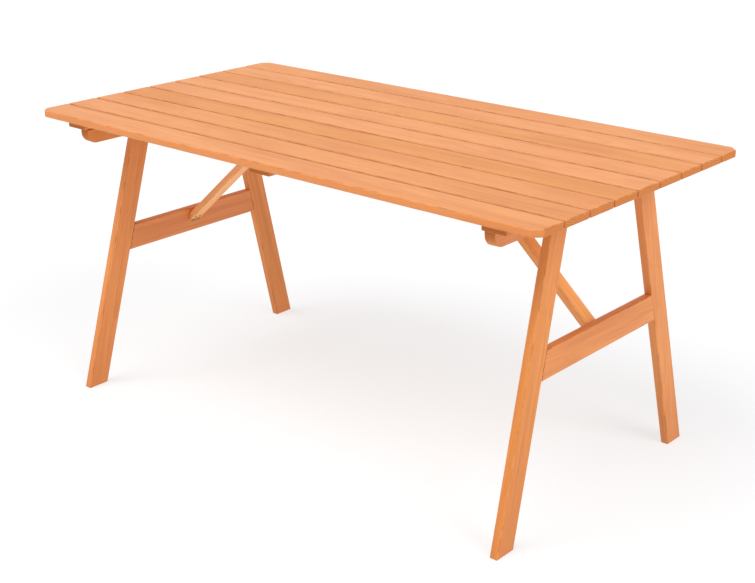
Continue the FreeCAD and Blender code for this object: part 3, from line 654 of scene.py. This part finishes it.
def add_braces(material):
    """Flat braces, round at the catch, bevelled and recessed for the hinge at the foot."""
    for side_name, side in SIDES.items():
        node = "brace_" + side_name
        turn = Matrix.Rotation(0 if side > 0 else math.pi, 4, "Z").to_3x3()
        along = turn @ Vector((-math.cos(BRACE_ANGLE), 0, math.sin(BRACE_ANGLE)))
        up = turn @ Vector((math.sin(BRACE_ANGLE), 0, math.cos(BRACE_ANGLE)))
        start = turn @ PIVOT + up * (BRACE_THICKNESS / 2)
        piece = softened_copy(node, material, 0.35 * MM, spacing=12 * MM, along=along)
        random.seed(630 + side)
        pith = Vector((random.uniform(0, 40), random.uniform(-0.03, 0.03), random.uniform(0.04, 0.10)))
        mesh = piece.data
        for name, kind, domain in (("log", "FLOAT_VECTOR", "POINT"), ("edge", "FLOAT", "POINT"),
                                   ("tone", "FLOAT", "POINT"), ("end_grain", "FLOAT", "CORNER")):
            mesh.attributes.new(name, kind, domain)
        logs, wear, tones, ends = (mesh.attributes[name] for name in ("log", "edge", "tone", "end_grain"))
        tone = random.random()
        for vertex in mesh.vertices:
            arm = vertex.co - start
            x, y, z = arm.dot(along), arm.y, arm.dot(up)
            logs.data[vertex.index].vector = Vector((x, y, z)) + pith
            to_side, to_face = BRACE_WIDTH / 2 - abs(y), BRACE_THICKNESS / 2 - abs(z)
            on_edge = max(to_side, to_face) < BRACE_ROUND
            wear.data[vertex.index].value = on_edge * max(0.0, 1 - abs(to_side - to_face) / BRACE_ROUND)
            tones.data[vertex.index].value = tone
        for face in mesh.polygons:
            end = abs(face.normal.dot(along)) ** 3
            for corner in face.loop_indices:
                ends.data[corner].value = end
        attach(piece, "brace_arm_" + side_name)


def add_hardware(steel, screw_steel):
    """Hinges, brackets, bolts, nuts and screws."""
    eased = {"hinge_top_leaves": 0.25, "hinge_frame_leaves": 0.25, "hinge_pins": 0.25, "catch_bracket": 0.4,
             "leg_bolts": 0.3, "leg_nuts": 0.3, "catch_bolt": 0.3, "wing_nut": 0.7}
    yellow = {"brace_hinge_rail_leaf": 0.2, "brace_hinge_arm_leaf": 0.2, "brace_hinge_pin": 0.2}
    owner = {node: body for body, nodes in frame["record"]["behaviour"]["bodies"].items() for node in nodes}
    for side_name in SIDES:
        for part, width in eased.items():
            node = part + "_" + side_name
            piece = softened_copy(node, steel, width * MM)
            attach(piece, owner[node])
        for part, width in yellow.items():
            node = part + "_" + side_name
            piece = softened_copy(node, screw_steel, width * MM)
            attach(piece, owner[node])
    for node, piece in frame["nodes"].items():
        if "screws" in node:
            piece.data.materials.clear()
            piece.data.materials.append(screw_steel)


def main():
    add_camera()
    add_surround()
    add_studio()
    stain_and_gap_shade = (0.18, 0.06, 0.020)
    # the top's colours are paler than the frame's: painted sheen, the pale gloss the top shows when seen at a low
    # angle
    sheen_painted_top_wood = wood_material("oiled_top_wood", (0.83, 0.330, 0.100), (0.65, 0.213, 0.052),
                             (0.88, 0.400, 0.148), stain_and_gap_shade, 0.60, 0.75, 0.22)
    frame_wood = wood_material("oiled_frame_wood", (0.745, 0.268, 0.070), (0.56, 0.172, 0.038),
                               (0.80, 0.328, 0.102), stain_and_gap_shade, 0.60, 0.38, 0.05)
    # the braces' colours are paler than the frame's: painted light, for the light the braces catch under the top
    # from the +X side
    light_painted_brace_wood = wood_material("oiled_brace_wood", (0.90, 0.420, 0.142), (0.73, 0.280, 0.075),
                               (0.93, 0.470, 0.190), stain_and_gap_shade, 0.50, 0.38, 0.05)
    steel = steel_material("zinc_plated_steel", (0.66, 0.66, 0.65), (0.42, 0.42, 0.42), 0.28, 1400.0)
    screw_steel = steel_material("yellow_zinc_steel", (0.38, 0.23, 0.10), (0.22, 0.13, 0.05), 0.34, 2400.0)
    add_slats(sheen_painted_top_wood)
    add_battens(frame_wood)
    add_legs(frame_wood)
    add_top_rails(frame_wood)
    add_cross_rails(frame_wood)
    add_braces(light_painted_brace_wood)
    add_hardware(steel, screw_steel)
    for side_name in SIDES:
        dowels = frame["nodes"]["rail_dowels_" + side_name]
        dowels.data.materials.clear()
        dowels.data.materials.append(frame_wood)


main()
